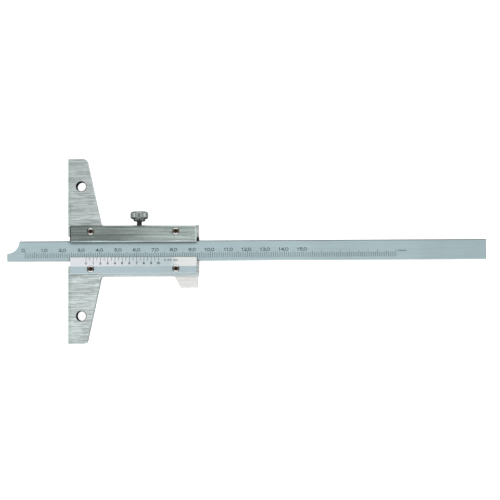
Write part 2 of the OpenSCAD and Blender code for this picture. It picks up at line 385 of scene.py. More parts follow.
class RoundedEdge(ShaderGroup):
    """Where a sharp edge has been broken, and the normal of its tiny round."""

    name = "rounded_edge"
    values = {"Radius": 0.12 * MM}
    outputs = ("Edge", "Normal")
    samples = 6
    flat_to_round = (0.99, 0.8)

    @classmethod
    def wire(cls, nodes: Nodes, given: bpy.types.NodeOutputs) -> Sockets:
        """Compares the rounded normal with the face's own one."""
        inputs = {"Radius": given["Radius"]}
        bevel = nodes.add("ShaderNodeBevel", inputs, samples=cls.samples)
        normal = bevel.outputs["Normal"]
        own = nodes.add("ShaderNodeNewGeometry").outputs["Normal"]
        match = nodes.vector("DOT_PRODUCT", normal, own)
        edge = nodes.spread(match, cls.flat_to_round, smooth=True)
        return {"Edge": edge, "Normal": normal}


class Handling(ShaderGroup):
    """The faint cloudiness that oil and handling leave on bare metal."""

    name = "handling"
    values = {"Size": 14 * MM}
    outputs = ("Cloud",)

    @classmethod
    def wire(cls, nodes: Nodes, given: bpy.types.NodeOutputs) -> Sockets:
        """Draws a soft noise of the given size."""
        scale = nodes.math("DIVIDE", 1.0, given["Size"])
        return {"Cloud": nodes.noise(given["Vector"], scale, 3.0)}


def linked(name: str, data: bpy.types.ID) -> bpy.types.Object:
    """Makes an object of a mesh, a light or a camera and puts it into the scene."""
    made = bpy.data.objects.new(name, data)
    bpy.context.scene.collection.objects.link(made)
    return made


def empty_material(name: str) -> tuple[bpy.types.Material, Nodes]:
    """Makes a node material without nodes, and returns it with its nodes."""
    material = bpy.data.materials.new(name)
    material.use_nodes = True
    material.node_tree.nodes.clear()
    return material, Nodes(material.node_tree)


@dataclass(frozen=True)
class Metal:
    """What every metal finish here has in common."""

    name: str
    colour: Colour
    roughness: float
    cloud: float = 0.04
    height: float = 0.004 * MM

    def finish(
        self,
        nodes: Nodes,
        colour: object,
        roughness: object,
        normal: Socket | None,
        metallic: object = 1.0,
    ) -> bpy.types.Node:
        """Adds the surface shader.

        Args:
            nodes: The material's nodes.
            colour: A colour or a colour socket.
            roughness: A number or a socket.
            normal: The bumped normal, where the finish has one.
            metallic: 1 for metal, 0 for enamel, or a socket.

        Returns:
            The surface shader.
        """
        shader = nodes.add(
            "ShaderNodeBsdfPrincipled",
            {"Metallic": metallic, "Base Color": colour, "Roughness": roughness},
        )
        if normal:
            nodes.feed(shader.inputs["Normal"], normal)
        nodes.add("ShaderNodeOutputMaterial", {"Surface": shader.outputs[0]})
        return shader

    def bumped(self, nodes: Nodes, height: Socket, normal: Socket) -> Socket:
        """Returns a normal with the marks of the tool in it."""
        bump = nodes.add(
            "ShaderNodeBump",
            {"Strength": 1.0, "Distance": self.height, "Height": height, "Normal": normal},
        )
        return bump.outputs["Normal"]

    def shade(self, amount: float) -> Colour:
        """Returns the finish's colour, made darker or lighter by a factor."""
        return tuple(min(1.0, part * amount) for part in self.colour)


@dataclass(frozen=True)
class Tone:
    """A slow change of colour, from one end of a piece to the other."""

    start: float
    end: float
    first: Colour
    last: Colour
    along: Axis = Axis.X

    def on(self, nodes: Nodes, colour: Socket) -> Socket:
        """Returns a colour with the change drawn on it."""
        share = nodes.spread(nodes.at[self.along.value], (self.start, self.end), smooth=True)
        return nodes.vector("MULTIPLY", colour, nodes.blend(share, self.first, self.last))


@dataclass(frozen=True)
class Patch:
    """A part of a piece that is ground apart from the rest, below a line in y."""

    from_x: float
    below_y: float
    colour: Colour
    border: ClassVar[float] = 0.15 * MM
    streak: ClassVar[Point] = (0.2, 0.8)
    grain: ClassVar[Point] = (0.88, 1.08)

    def share(self, nodes: Nodes) -> Socket:
        """Returns a mask that is 1 on the patch, with a narrow soft border."""
        x, y, soft = self.from_x, self.below_y, self.border
        beyond = nodes.spread(nodes.at["X"], (x - soft, x + soft))
        below = nodes.spread(nodes.at["Y"], (y + soft, y - soft))
        upward = nodes.spread(nodes.parts(nodes.facing)["Z"], (0.5, 0.7))
        return nodes.product(beyond, below, upward)


@dataclass(frozen=True)
class Facet:
    """Painted light and shade on the faces that face one way, found by the way they face."""

    facing: tuple[float, float, float]
    tone: Colour
    tones: tuple[Tone, ...] = ()
    match: ClassVar[Point] = (0.975, 0.992)

    def on(self, nodes: Nodes, colour: Socket) -> Socket:
        """Returns a colour with its painted tone on the faces that face this way, lighter as
        painted light and darker as painted shade.
        """
        direction = tuple(Vector(self.facing).normalized())
        share = nodes.spread(nodes.vector("DOT_PRODUCT", nodes.facing, direction), self.match)
        own = nodes.vector("MULTIPLY", colour, self.tone)
        for tone in self.tones:
            own = tone.on(nodes, own)
        return nodes.blend(share, colour, own)


@dataclass(frozen=True)
class Score:
    """One dark line along a piece, which comes in slowly."""

    y: float
    width: float
    from_x: float
    tone: float
    fade: float = 8 * MM

    def level(self, nodes: Nodes) -> Socket:
        """Returns the score's tone on the score and 1 beside it."""
        apart = nodes.math("ABSOLUTE", nodes.math("SUBTRACT", nodes.at["Y"], self.y))
        across = nodes.spread(apart, (0.5 * self.width, 0.8 * self.width), (1, 0))
        along = nodes.spread(nodes.at["X"], (self.from_x, self.from_x + self.fade))
        return nodes.spread(nodes.product(across, along), (0, 1), (1, self.tone))


@dataclass(frozen=True)
class Bore:
    """A drilled hole along z, whose wall is painted near black as painted shade, and the rim round
    it, painted darker as painted shade.
    """

    x: float
    y: float
    radius: float
    rim: float = 0.38 * MM
    tone: float = 0.04

    def reach(self, nodes: Nodes) -> Socket:
        """Returns the distance from the hole's axis."""
        flat = nodes.vector("MULTIPLY", nodes.place, (1.0, 1.0, 0.0))
        return nodes.vector("DISTANCE", flat, (self.x, self.y, 0.0))

    def wall(self, nodes: Nodes) -> Socket:
        """Returns a mask that is 1 on the hole's wall, which is painted as shade."""
        return nodes.math("LESS_THAN", self.reach(nodes), self.radius)

    def level(self, nodes: Nodes) -> Socket:
        """Returns the rim's painted shade on the rim and 1 outside it."""
        outside = self.radius + self.rim
        return nodes.spread(
            self.reach(nodes), (outside - self.rim / 2, outside), (self.tone, 1)
        )


@dataclass(frozen=True)
class Channel:
    """A channel along x whose inside is painted dark, as painted shade."""

    low_y: float
    high_y: float
    below_z: float
    tone: float

    def level(self, nodes: Nodes) -> Socket:
        """Returns the channel's painted shade inside it and 1 outside."""
        above = nodes.math("GREATER_THAN", nodes.at["Y"], self.low_y)
        below = nodes.math("LESS_THAN", nodes.at["Y"], self.high_y)
        deep = nodes.math("LESS_THAN", nodes.at["Z"], self.below_z)
        return nodes.spread(nodes.product(above, below, deep), (0, 1), (1, self.tone))


@dataclass(frozen=True)
class BrushedSteel(Metal):
    """Steel that was ground or brushed along x.

    The darker places are painted shade in and round bores and in channels, and dark lines, each
    with its own level.
    """

    contrast: float = 0.15
    length: float = 9 * MM
    width: float = 0.5 * MM
    sway: float = 0.1 * MM
    scores: float = 0.0
    edge: float = 0.12 * MM
    # The colour painted on broken edges: lighter as a painted highlight, and on the beam darker as
    # painted shade.
    worn: Colour = (0.9, 0.92, 0.92)
    tones: tuple[Tone, ...] = ()
    patches: tuple[Patch, ...] = ()
    facets: tuple[Facet, ...] = ()
    bores: tuple[Bore, ...] = ()
    darker: tuple[Channel | Score, ...] = ()
    # How far painted shade darkens the colour where another piece stands close by.
    corner: float = 0.0
    band_share: ClassVar[float] = 0.25
    score_tone: ClassVar[float] = 0.3
    polish: ClassVar[float] = 0.05
    wear: ClassVar[float] = 0.35
    # The near-black of the bores' walls: painted shade.
    wall: ClassVar[Colour] = (0.012, 0.012, 0.011)

    def material(self) -> bpy.types.Material:
        """Builds the finish.

        Returns:
            The node material.
        """
        material, nodes = empty_material(self.name)
        grain = BrushedGrain.place(
            nodes, Vector=nodes.place, Length=self.length, Width=self.width, Sway=self.sway
        )
        cloud = Handling.place(nodes, Vector=nodes.place)["Cloud"]
        streak = nodes.math(
            "ADD",
            nodes.product(grain["Grain"], 1 - self.band_share),
            nodes.product(grain["Bands"], self.band_share),
        )
        low, high = self.shade(1 - self.contrast), self.shade(1 + self.contrast)
        score = nodes.product(grain["Scores"], self.scores)
        colour = nodes.blend(streak, low, high)
        colour = nodes.blend(score, colour, self.shade(self.score_tone))
        colour = self.toned(nodes, colour, cloud, streak)
        # Painted shade: the colour is darkened where another piece stands close above, as under
        # the plates.
        if self.corner:
            corner = Corner.place(nodes)["Corner"]
            colour = nodes.dim(colour, nodes.spread(corner, (0, 1), (1, 1 - self.corner)))
        rough = nodes.math(
            "ADD",
            nodes.spread(
                streak, (0, 1), (self.roughness + self.polish, self.roughness - self.polish)
            ),
            nodes.product(cloud, self.cloud),
        )
        edge = RoundedEdge.place(nodes, Radius=self.edge)
        normal = self.bumped(nodes, grain["Grain"], edge["Normal"])
        # Painted edge highlight on broken edges; on the beam the edges are painted dark instead,
        # as painted shade.
        colour = nodes.blend(nodes.product(edge["Edge"], self.wear), colour, self.worn)
        if not self.bores:
            self.finish(nodes, colour, rough, normal)
            return material
        # Painted shade: the bores' walls are made a near-black surface that is no metal.
        wall = 0.0
        for bore in self.bores:
            wall = nodes.math("ADD", wall, bore.wall(nodes))
        bare = nodes.math("SUBTRACT", 1.0, wall)
        shader = self.finish(nodes, nodes.blend(wall, colour, self.wall), rough, normal, bare)
        shader.inputs["Specular IOR Level"].default_value = 0.0
        return material

    def toned(self, nodes: Nodes, colour: Socket, cloud: Socket, streak: Socket) -> Socket:
        """Adds the slow changes, the patches, the painted light and shade by facing, and the
        darker places.

        Args:
            nodes: The material's nodes.
            colour: The colour so far.
            cloud: The handling marks.
            streak: The grain.

        Returns:
            The colour with all of them.
        """
        level = nodes.spread(cloud, (0, 1), (1 - self.cloud, 1 + self.cloud))
        colour = nodes.dim(colour, level)
        for tone in self.tones:
            colour = tone.on(nodes, colour)
        for patch in self.patches:
            grain = nodes.spread(streak, patch.streak, patch.grain)
            colour = nodes.blend(patch.share(nodes), colour, nodes.dim(patch.colour, grain))
        # Painted light and shade: faces are made lighter or darker by the way they face.
        for facing_shade in self.facets:
            colour = facing_shade.on(nodes, colour)
        # Painted shade round the bores' rims and in channels, and the dark lines.
        levels = (place.level(nodes) for place in self.bores + self.darker)
        return nodes.dim(colour, nodes.product(1.0, *levels))


@dataclass(frozen=True)
class Middle:
    """The middle of a screw head, painted dark as a painted reflection, and the left and right
    sides of its rim, painted darker as painted shade.

    The rest of the rim was turned nearly flat, and flat says how nearly.
    """

    radius: float
    colour: Colour
    sides: Colour
    flat: float = 0.75
    border: float = 0.15 * MM
    wedge: Point = (0.5, 0.9)

    def on(self, nodes: Nodes, upright: Socket, colour: Socket, normal: Socket) -> list[Socket]:
        """Draws the painted shade of the middle and of the sides on a colour, and flattens the
        rim.

        Args:
            nodes: The material's nodes.
            upright: Coordinates about the screw's axis.
            colour: The colour so far.
            normal: The normal so far.

        Returns:
            The new colour and the new normal.
        """
        flat = nodes.vector("MULTIPLY", upright, (1.0, 1.0, 0.0))
        reach = nodes.vector("LENGTH", flat)
        aside = nodes.math("DIVIDE", nodes.math("ABSOLUTE", nodes.parts(flat)["X"]), reach)
        wedge = nodes.spread(aside, self.wedge, smooth=True)
        colour = nodes.blend(wedge, colour, self.sides)
        share = nodes.spread(reach, (self.radius + self.border, self.radius - self.border))
        level = nodes.spread(wedge, (0, 1), (self.flat, 0))
        return [
            nodes.blend(share, colour, self.colour),
            nodes.blend(level, normal, (0.0, 0.0, 1.0)),
        ]


@dataclass(frozen=True)
class TurnedSteel(Metal):
    """Bright steel with the fine rings of a lathe tool."""

    axis: Axis = Axis.Z
    pitch: float = 0.12 * MM
    contrast: float = 0.12
    height: float = 0.003 * MM
    edge: float = 0.08 * MM
    middle: Middle | None = None
    tone: Tone | None = None
    cloud_size: ClassVar[float] = 3 * MM

    def material(self, centre: Vector) -> bpy.types.Material:
        """Builds the finish about one piece's axis.

        Args:
            centre: A point on the axis that the piece was turned about.

        Returns:
            The node material.
        """
        material, nodes = empty_material(self.name)
        turn = -math.pi / 2 if self.axis is Axis.Y else 0.0
        moved = nodes.vector("SUBTRACT", nodes.place, tuple(centre))
        upright = nodes.add(
            "ShaderNodeMapping", {"Vector": moved, "Rotation": (turn, 0, 0)}
        ).outputs[0]
        rings = TurnedRings.place(nodes, Vector=upright, Pitch=self.pitch)["Rings"]
        cloud = Handling.place(nodes, Vector=nodes.place, Size=self.cloud_size)["Cloud"]
        low, high = self.shade(1 - self.contrast), self.shade(1 + self.contrast)
        colour = nodes.blend(rings, low, high)
        normal = RoundedEdge.place(nodes, Radius=self.edge)["Normal"]
        if self.middle:
            colour, normal = self.middle.on(nodes, upright, colour, normal)
        if self.tone:
            colour = self.tone.on(nodes, colour)
        rough = nodes.spread(
            cloud, (0, 1), (self.roughness, self.roughness + 2 * self.cloud)
        )
        self.finish(nodes, colour, rough, self.bumped(nodes, rings, normal))
        return material


@dataclass(frozen=True)
class Enamel(Metal):
    """Matt paint that was wiped into engraved lines, with a little dust on it."""

    cloud_size: ClassVar[float] = 2 * MM
    dusty: ClassVar[Point] = (0.7, 1.5)

    def material(self) -> bpy.types.Material:
        """Builds the finish.

        Returns:
            The node material.
        """
        material, nodes = empty_material(self.name)
        cloud = Handling.place(nodes, Vector=nodes.place, Size=self.cloud_size)["Cloud"]
        colour = nodes.blend(cloud, *(self.shade(amount) for amount in self.dusty))
        rough = nodes.spread(cloud, (0, 1), (self.roughness, self.roughness + self.cloud))
        shader = self.finish(nodes, colour, rough, None, metallic=0.0)
        shader.inputs["Specular IOR Level"].default_value = 0.15
        return material


@dataclass(frozen=True)
class Graduation:
    """A row of engraved lines, filled with enamel.

    The filling stays clear of the walls of its groove and is sunk below the
    face. Each field is an input of the tree that sets out the lines.
    """

    count: int
    pitch: float
    first_x: float
    short: float
    middle: float
    long: float
    middle_every: int
    long_every: int
    origin: tuple[float, float, float]
    turn: tuple[float, float, float]
    clear: ClassVar[float] = 0.004 * MM
    sink: ClassVar[float] = 0.008 * MM
    width: float = 0.19 * MM - 2 * clear
    depth: float = 0.05 * MM - clear - sink


class GraduationTree:
    """Geometry Nodes that set out a row of filled lines of three lengths."""

    name = "graduation_lines"
    kinds = {int: "NodeSocketInt", float: "NodeSocketFloat"}

    def __init__(self) -> None:
        """Builds the tree, with an input for each field of a row."""
        self.tree = bpy.data.node_groups.new(self.name, "GeometryNodeTree")
        face = self.tree.interface
        face.new_socket("Geometry", in_out="OUTPUT", socket_type="NodeSocketGeometry")
        kinds = {
            size.name: self.kinds.get(size.type, "NodeSocketVector")
            for size in fields(Graduation)
        }
        kinds["enamel"] = "NodeSocketMaterial"
        self.keys = {
            name: face.new_socket(name, in_out="INPUT", socket_type=kind).identifier
            for name, kind in kinds.items()
        }
        nodes = Nodes(self.tree)
        given = nodes.add("NodeGroupInput").outputs
        row = nodes.add(
            "GeometryNodeMeshLine",
            {
                "Count": given["count"],
                "Start Location": nodes.join(given["first_x"]),
                "Offset": nodes.join(given["pitch"]),
            },
            mode="OFFSET",
        )
        size = nodes.join(given["width"], self.length(nodes, given), given["depth"])
        lines = nodes.add(
            "GeometryNodeInstanceOnPoints",
            {"Points": row.outputs[0], "Instance": self.bar(nodes), "Scale": size},
        )
        placed = self.moved(nodes, lines.outputs[0], given["origin"], Rotation=given["turn"])
        solid = nodes.add("GeometryNodeRealizeInstances", {0: placed})
        filled = nodes.add(
            "GeometryNodeSetMaterial",
            {"Geometry": solid.outputs[0], "Material": given["enamel"]},
        )
        nodes.add("NodeGroupOutput", {"Geometry": filled.outputs[0]})

    @staticmethod
    def moved(nodes: Nodes, shape: Socket, by: object, **turned: Socket) -> Socket:
        """Returns a shape, moved and turned."""
        inputs = {"Geometry": shape, "Translation": by, **turned}
        return nodes.add("GeometryNodeTransform", inputs).outputs[0]

    @classmethod
    def bar(cls, nodes: Nodes) -> Socket:
        """Returns a unit bar whose foot is at the origin and whose top is at z = 0."""
        cube = nodes.add("GeometryNodeMeshCube", {"Size": (1.0, 1.0, 1.0)})
        return cls.moved(nodes, cube.outputs[0], (0.0, 0.5, -0.5))

    @staticmethod
    def length(nodes: Nodes, given: bpy.types.NodeOutputs) -> Socket:
        """Picks each line's length from its place in the row."""
        index = nodes.add("GeometryNodeInputIndex").outputs[0]
        length = given["short"]
        for name in ("middle", "long"):
            rest = nodes.math("MODULO", index, given[f"{name}_every"])
            length = nodes.add(
                "GeometryNodeSwitch",
                {
                    "Switch": nodes.math("LESS_THAN", rest, 0.5),
                    "False": length,
                    "True": given[name],
                },
                input_type="FLOAT",
            ).outputs[0]
        return length

    def fill(
        self, name: str, row: Graduation, enamel: bpy.types.Material
    ) -> bpy.types.Object:
        """Makes the filling of one row of lines as a plain mesh.

        Args:
            name: The new piece's name.
            row: The row's sizes.
            enamel: The filling's material.

        Returns:
            The piece, at the origin, with its place in its mesh.
        """
        carrier = linked(name, bpy.data.meshes.new(name))
        modifier = carrier.modifiers.new("lines", "NODES")
        modifier.node_group = self.tree
        for field, key in self.keys.items():
            modifier[key] = enamel if field == "enamel" else getattr(row, field)
        seen = carrier.evaluated_get(bpy.context.evaluated_depsgraph_get())
        mesh = bpy.data.meshes.new_from_object(seen)
        carrier.modifiers.clear()
        carrier.data = mesh
        mesh.name = name
        return carrier


def arc(centre: Point, radii: Point, start: float, end: float, steps: int = 14) -> list[Point]:
    """Returns points along part of an ellipse.

    Args:
        centre: The ellipse's centre.
        radii: Its half width and half height.
        start: The first angle in degrees.
        end: The last angle in degrees.
        steps: How many pieces the arc has.

    Returns:
        The points, from the first angle to the last.
    """
    angles = [math.radians(start + (end - start) * i / steps) for i in range(steps + 1)]
    return [
        (centre[0] + radii[0] * math.cos(a), centre[1] + radii[1] * math.sin(a))
        for a in angles
    ]


class Figures:
    """Single-line figures, as an engraving machine cuts them.

    Each figure is a list of strokes in a cell that is 1 wide and 1 high. The
    strokes stand above the face by a hair and reach a little below it.
    """

    above, below = 0.004 * MM, 0.008 * MM
    advances = {"1": 0.66, ".": 0.45, "m": 1.15, " ": 0.7}
    longest_mitre, sharpest_turn = 1.6, 0.3
    ring = [arc((0.5, 0.5), (0.5, 0.5), 90, 450, 24)]
    six = [
        arc((0.5, 0.31), (0.46, 0.31), 180, 540, 20),
        arc((0.78, 0.31), (0.74, 0.68), 180, 92, 10),
    ]
    strokes: dict[str, list[list[Point]]] = {
        "0": ring,
        "1": [[(0.28, 0.8), (0.5, 1.0)], [(0.5, 1.0), (0.5, 0.0)]],
        "2": [arc((0.5, 0.72), (0.44, 0.28), 165, -35) + [(0.04, 0.0)], [(0.04, 0.0), (1.0, 0.0)]],
        "3": [
            arc((0.48, 0.76), (0.4, 0.24), 150, -90),
            arc((0.48, 0.27), (0.46, 0.27), 90, -150),
        ],
        "4": [[(0.74, 0.0), (0.74, 1.0)], [(0.74, 1.0), (0.02, 0.3)], [(0.02, 0.3), (1.0, 0.3)]],
        "5": [
            [(0.9, 1.0), (0.18, 1.0), (0.12, 0.56)],
            arc((0.46, 0.32), (0.48, 0.32), 132, -150),
        ],
        "6": six,
        "7": [[(0.04, 1.0), (0.96, 1.0)], [(0.96, 1.0), (0.36, 0.0)]],
        "8": [
            arc((0.5, 0.76), (0.38, 0.24), 270, 630, 18),
            arc((0.5, 0.27), (0.48, 0.27), 90, 450, 20),
        ],
        "9": [[(1 - x, 1 - y) for x, y in stroke] for stroke in six],
        ".": [[(0.4, 0.04), (0.6, 0.04)]],
        "m": [
            [(0.0, 0.0), (0.0, 0.7)],
            [(0.0, 0.45)] + arc((0.25, 0.45), (0.25, 0.25), 180, 0, 8) + [(0.5, 0.0)],
            [(0.5, 0.45)] + arc((0.75, 0.45), (0.25, 0.25), 180, 0, 8) + [(1.0, 0.0)],
        ],
    }

    def __init__(self, size: Writing) -> None:
        """Starts an empty mesh for writing of one size."""
        self.width, self.height, self.stroke, self.gap = size
        self.points: list[tuple[float, float, float]] = []
        self.faces: list[tuple[int, ...]] = []

    def advance(self, letter: str) -> float:
        """Returns the width that one letter takes, without the gap after it."""
        return self.width * self.advances.get(letter, 1.0)

    def length(self, text: str) -> float:
        """Returns the width of a whole text."""
        return sum(self.advance(letter) for letter in text) + self.gap * (len(text) - 1)

    def write(self, text: str, left: float, foot: float) -> None:
        """Adds a text.

        Args:
            text: The figures to write.
            left: Where the first one starts.
            foot: The line that they stand on.
        """
        for letter in text:
            room = self.advance(letter)
            inset = (room - self.width) / 2 if letter == "1" else 0.0
            scale = room if letter == "m" else self.width
            for stroke in self.strokes.get(letter, []):
                path = [
                    (left + inset + x * scale, foot + y * self.height) for x, y in stroke
                ]
                self.cut(path)
            left += room + self.gap

    def cut(self, path: list[Point]) -> None:
        """Adds one stroke as a thin closed strip with mitred corners.

        Args:
            path: The stroke's middle line. It is closed if its ends meet.
        """
        closed = math.dist(path[0], path[-1]) < 0.01 * self.stroke
        spine = [Vector(p) for p in (path[:-1] if closed else path)]
        if not closed:
            reach = self.stroke / 2
            spine[0] += (spine[0] - spine[1]).normalized() * reach
            spine[-1] += (spine[-1] - spine[-2]).normalized() * reach
        count, start = len(spine), len(self.points)
        for i, point in enumerate(spine):
            before = spine[i - 1] if i or closed else point
            after = spine[(i + 1) % count] if i < count - 1 or closed else point
            first = (point - before).normalized() if i or closed else (after - point).normalized()
            second = (after - point).normalized() if i < count - 1 or closed else first
            along = (first + second).normalized()
            side = Vector((-along.y, along.x))
            turned = side.dot(Vector((-first.y, first.x)))
            mitre = min(self.longest_mitre, 1 / max(self.sharpest_turn, turned))
            half = side * (self.stroke / 2 * mitre)
            for edge in (point + half, point - half):
                self.points += [(*edge, self.above), (*edge, -self.below)]
        for i in range(count if closed else count - 1):
            a, b = start + 4 * i, start + 4 * ((i + 1) % count)
            self.faces += [
                (a, a + 2, b + 2, b),
                (a + 1, b + 1, b + 3, a + 3),
                (a, b, b + 1, a + 1),
                (a + 2, a + 3, b + 3, b + 2),
            ]
        if not closed:
            last = start + 4 * (count - 1)
            self.faces += [
                (start, start + 1, start + 3, start + 2),
                (last, last + 2, last + 3, last + 1),
            ]

    def piece(self, name: str, place: Matrix, finish: bpy.types.Material) -> bpy.types.Object:
        """Turns what was written into a piece.

        Args:
            name: The piece's name.
            place: Where the plane of the writing lies.
            finish: The enamel.

        Returns:
            The piece, at the origin, with its place in its mesh.
        """
        mesh = bpy.data.meshes.new(name)
        mesh.from_pydata(self.points, [], self.faces)
        mesh.transform(place)
        mesh.materials.append(finish)
        mesh.validate()
        return linked(name, mesh)


def attach(piece: bpy.types.Object, body: Body) -> None:
    """Makes a new piece ride on a body."""
    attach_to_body(piece, body.value)
    LOG.info("%s rides on %s, %d faces", piece.name, body.value, len(piece.data.polygons))


def dress(node: str, finish: bpy.types.Material) -> None:
    """Gives a CAD node its finish."""
    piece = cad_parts[node]
    for place in piece.material_slots:
        place.material = finish
    LOG.info("%s is finished in %s", node, finish.name)


def dress_turned(nodes: tuple[str, ...], finish: TurnedSteel) -> None:
    """Gives CAD nodes a turned finish, each about its own axis."""
    for node in nodes:
        low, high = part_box(node)
        dress(node, finish.material((low + high) / 2))


@dataclass
class Finishes:
    """Every finish of the gauge, named for what it is on."""

    base: BrushedSteel = BrushedSteel(
        "brushed_base_steel",
        (0.55, 0.61, 0.603),
        0.5,
        contrast=0.55,
        length=9 * MM,
        width=0.48 * MM,
        sway=0.0,
        scores=0.3,
        tones=(
            Tone(12 * MM, -16 * MM, grey(0.845), grey(0.97), Axis.Y),
            Tone(11 * MM, 17 * MM, grey(1.0), grey(1.09)),
            Tone(20 * MM, 60 * MM, grey(1.0), (1.0, 0.93, 0.93)),
        ),
        patches=(
            Patch(18 * MM, -12.2 * MM, (0.62, 0.69, 0.7)),
            Patch(50 * MM, -13.9 * MM, (0.81, 0.81, 0.795)),
        ),
        # Painted shade on the arm's bevel, and a painted reflection, lighter, on a side wall
        # facing right.
        facets=(
            Facet((-0.6, 0.0, 1.8), (0.85, 0.89, 0.87)),
            Facet((1.0, 0.25, 0.0), grey(1.8)),
        ),
        # Painted shade in both holes and round their rims.
        bores=(Bore(7.1 * MM, 35 * MM, 2.62 * MM), Bore(7.1 * MM, -35 * MM, 2.62 * MM)),
        # Painted shade inside the channel that the beam runs in.
        darker=(Channel(-5.6 * MM, 7.4 * MM, 6.6 * MM, 0.1),),
    )
    cover: BrushedSteel = BrushedSteel(
        "ground_cover_steel",
        (0.365, 0.425, 0.4),
        0.4,
        contrast=0.6,
        length=26 * MM,
        width=0.54 * MM,
        sway=0.04 * MM,
        scores=0.3,
        # Painted light and shade: darker at the left end, lighter towards the right.
        tones=(
            Tone(22 * MM, 68 * MM, grey(0.64), (1.19, 1.19, 1.2)),
            Tone(6 * MM, 16 * MM, grey(0.83), grey(1.0)),
        ),
        # Painted light and shade on the chamfers: the top one dark at the left and light at the
        # right, the left one dark, a painted highlight on the lower one that fades to the right, a
        # darker lower wall and a lighter right chamfer.
        facets=(
            Facet(
                (0.0, 1.0, 1.0),
                grey(0.51),
                (Tone(5 * MM, 75 * MM, grey(1.0), (4.4, 4.3, 4.3)),),
            ),
            Facet((-1.0, 0.0, 1.0), grey(0.34)),
            Facet(
                (0.0, -1.0, 1.0),
                (2.15, 2.25, 2.4),
                (Tone(15 * MM, 50 * MM, grey(1.0), (0.45, 0.41, 0.4)),),
            ),
            Facet((0.0, -1.0, 0.0), grey(0.35)),
            Facet((1.0, 0.0, 1.0), grey(1.15)),
        ),
        darker=(Score(12.75 * MM, 0.4 * MM, 18 * MM, 0.6),),
    )
    vernier: BrushedSteel = BrushedSteel(
        "satin_vernier_steel",
        (0.46, 0.56, 0.595),
        0.5,
        contrast=0.03,
        length=6 * MM,
        width=0.2 * MM,
        # Painted light on the bevel, weaker from its middle on and stronger again at its right
        # end, and on the lower chamfer.
        facets=(
            Facet(
                (0.0, 1.8, 5.0),
                (1.585, 1.343, 1.315),
                (
                    Tone(15 * MM, 48 * MM, grey(1.0), (0.72, 0.81, 0.805)),
                    Tone(54 * MM, 60 * MM, grey(1.0), (1.45, 1.28, 1.23)),
                ),
            ),
            Facet((0.0, -1.0, 1.0), (1.35, 1.2, 1.15)),
        ),
    )
    beam: BrushedSteel = BrushedSteel(
        "satin_beam_steel",
        (0.44, 0.55, 0.575),
        0.55,
        contrast=0.06,
        length=30 * MM,
        width=0.5 * MM,
        sway=0.04 * MM,
        edge=0.12 * MM,
        # Painted shade: the beam's broken edges are painted dark.
        worn=(0.05, 0.08, 0.08),
        tones=(
            Tone(120 * MM, 145 * MM, grey(1.0), grey(0.94)),
            Tone(175 * MM, 210 * MM, grey(1.0), grey(0.955)),
            Tone(225.1 * MM, 225.6 * MM, grey(1.0), grey(0.75)),
        ),
        # Painted shade on the top chamfer, and a painted tint on the lower chamfer that grows
        # lighter towards the right.
        facets=(
            Facet((0.0, 1.0, 1.0), grey(0.22)),
            Facet(
                (0.0, -1.0, 1.0),
                (0.95, 0.93, 0.88),
                (Tone(60 * MM, 110 * MM, grey(1.0), grey(1.35)),),
            ),
        ),
        # Painted shade on the beam under the edges of the plates.
        corner=0.8,
    )
    screw: TurnedSteel = TurnedSteel(
        "turned_screw_steel",
        (0.95, 0.94, 0.92),
        0.3,
        contrast=0.05,
        # Painted shade: a dark middle on each screw head, and darker left and right sides.
        middle=Middle(1.2 * MM, (0.05, 0.037, 0.03), (0.24, 0.2, 0.17)),
    )
    clamp: TurnedSteel = TurnedSteel(
        "nickelled_clamp_steel",
        (0.33, 0.36, 0.35),
        0.12,
        axis=Axis.Y,
        edge=0.03 * MM,
        # Painted shade: the clamp screw is darker at the foot of its knob and below it.
        tone=Tone(17.0 * MM, 18.4 * MM, grey(0.38), grey(1.0), Axis.Y),
    )
    gib_screw: TurnedSteel = TurnedSteel(
        "dark_gib_screw_steel", (0.16, 0.165, 0.165), 0.32, axis=Axis.Y
    )
    gib: BrushedSteel = BrushedSteel(
        "satin_gib_bronze", (0.55, 0.36, 0.15), 0.35, contrast=0.1, width=0.3 * MM
    )
    enamel: Enamel = Enamel("line_enamel", (0.008, 0.009, 0.01), 0.6)


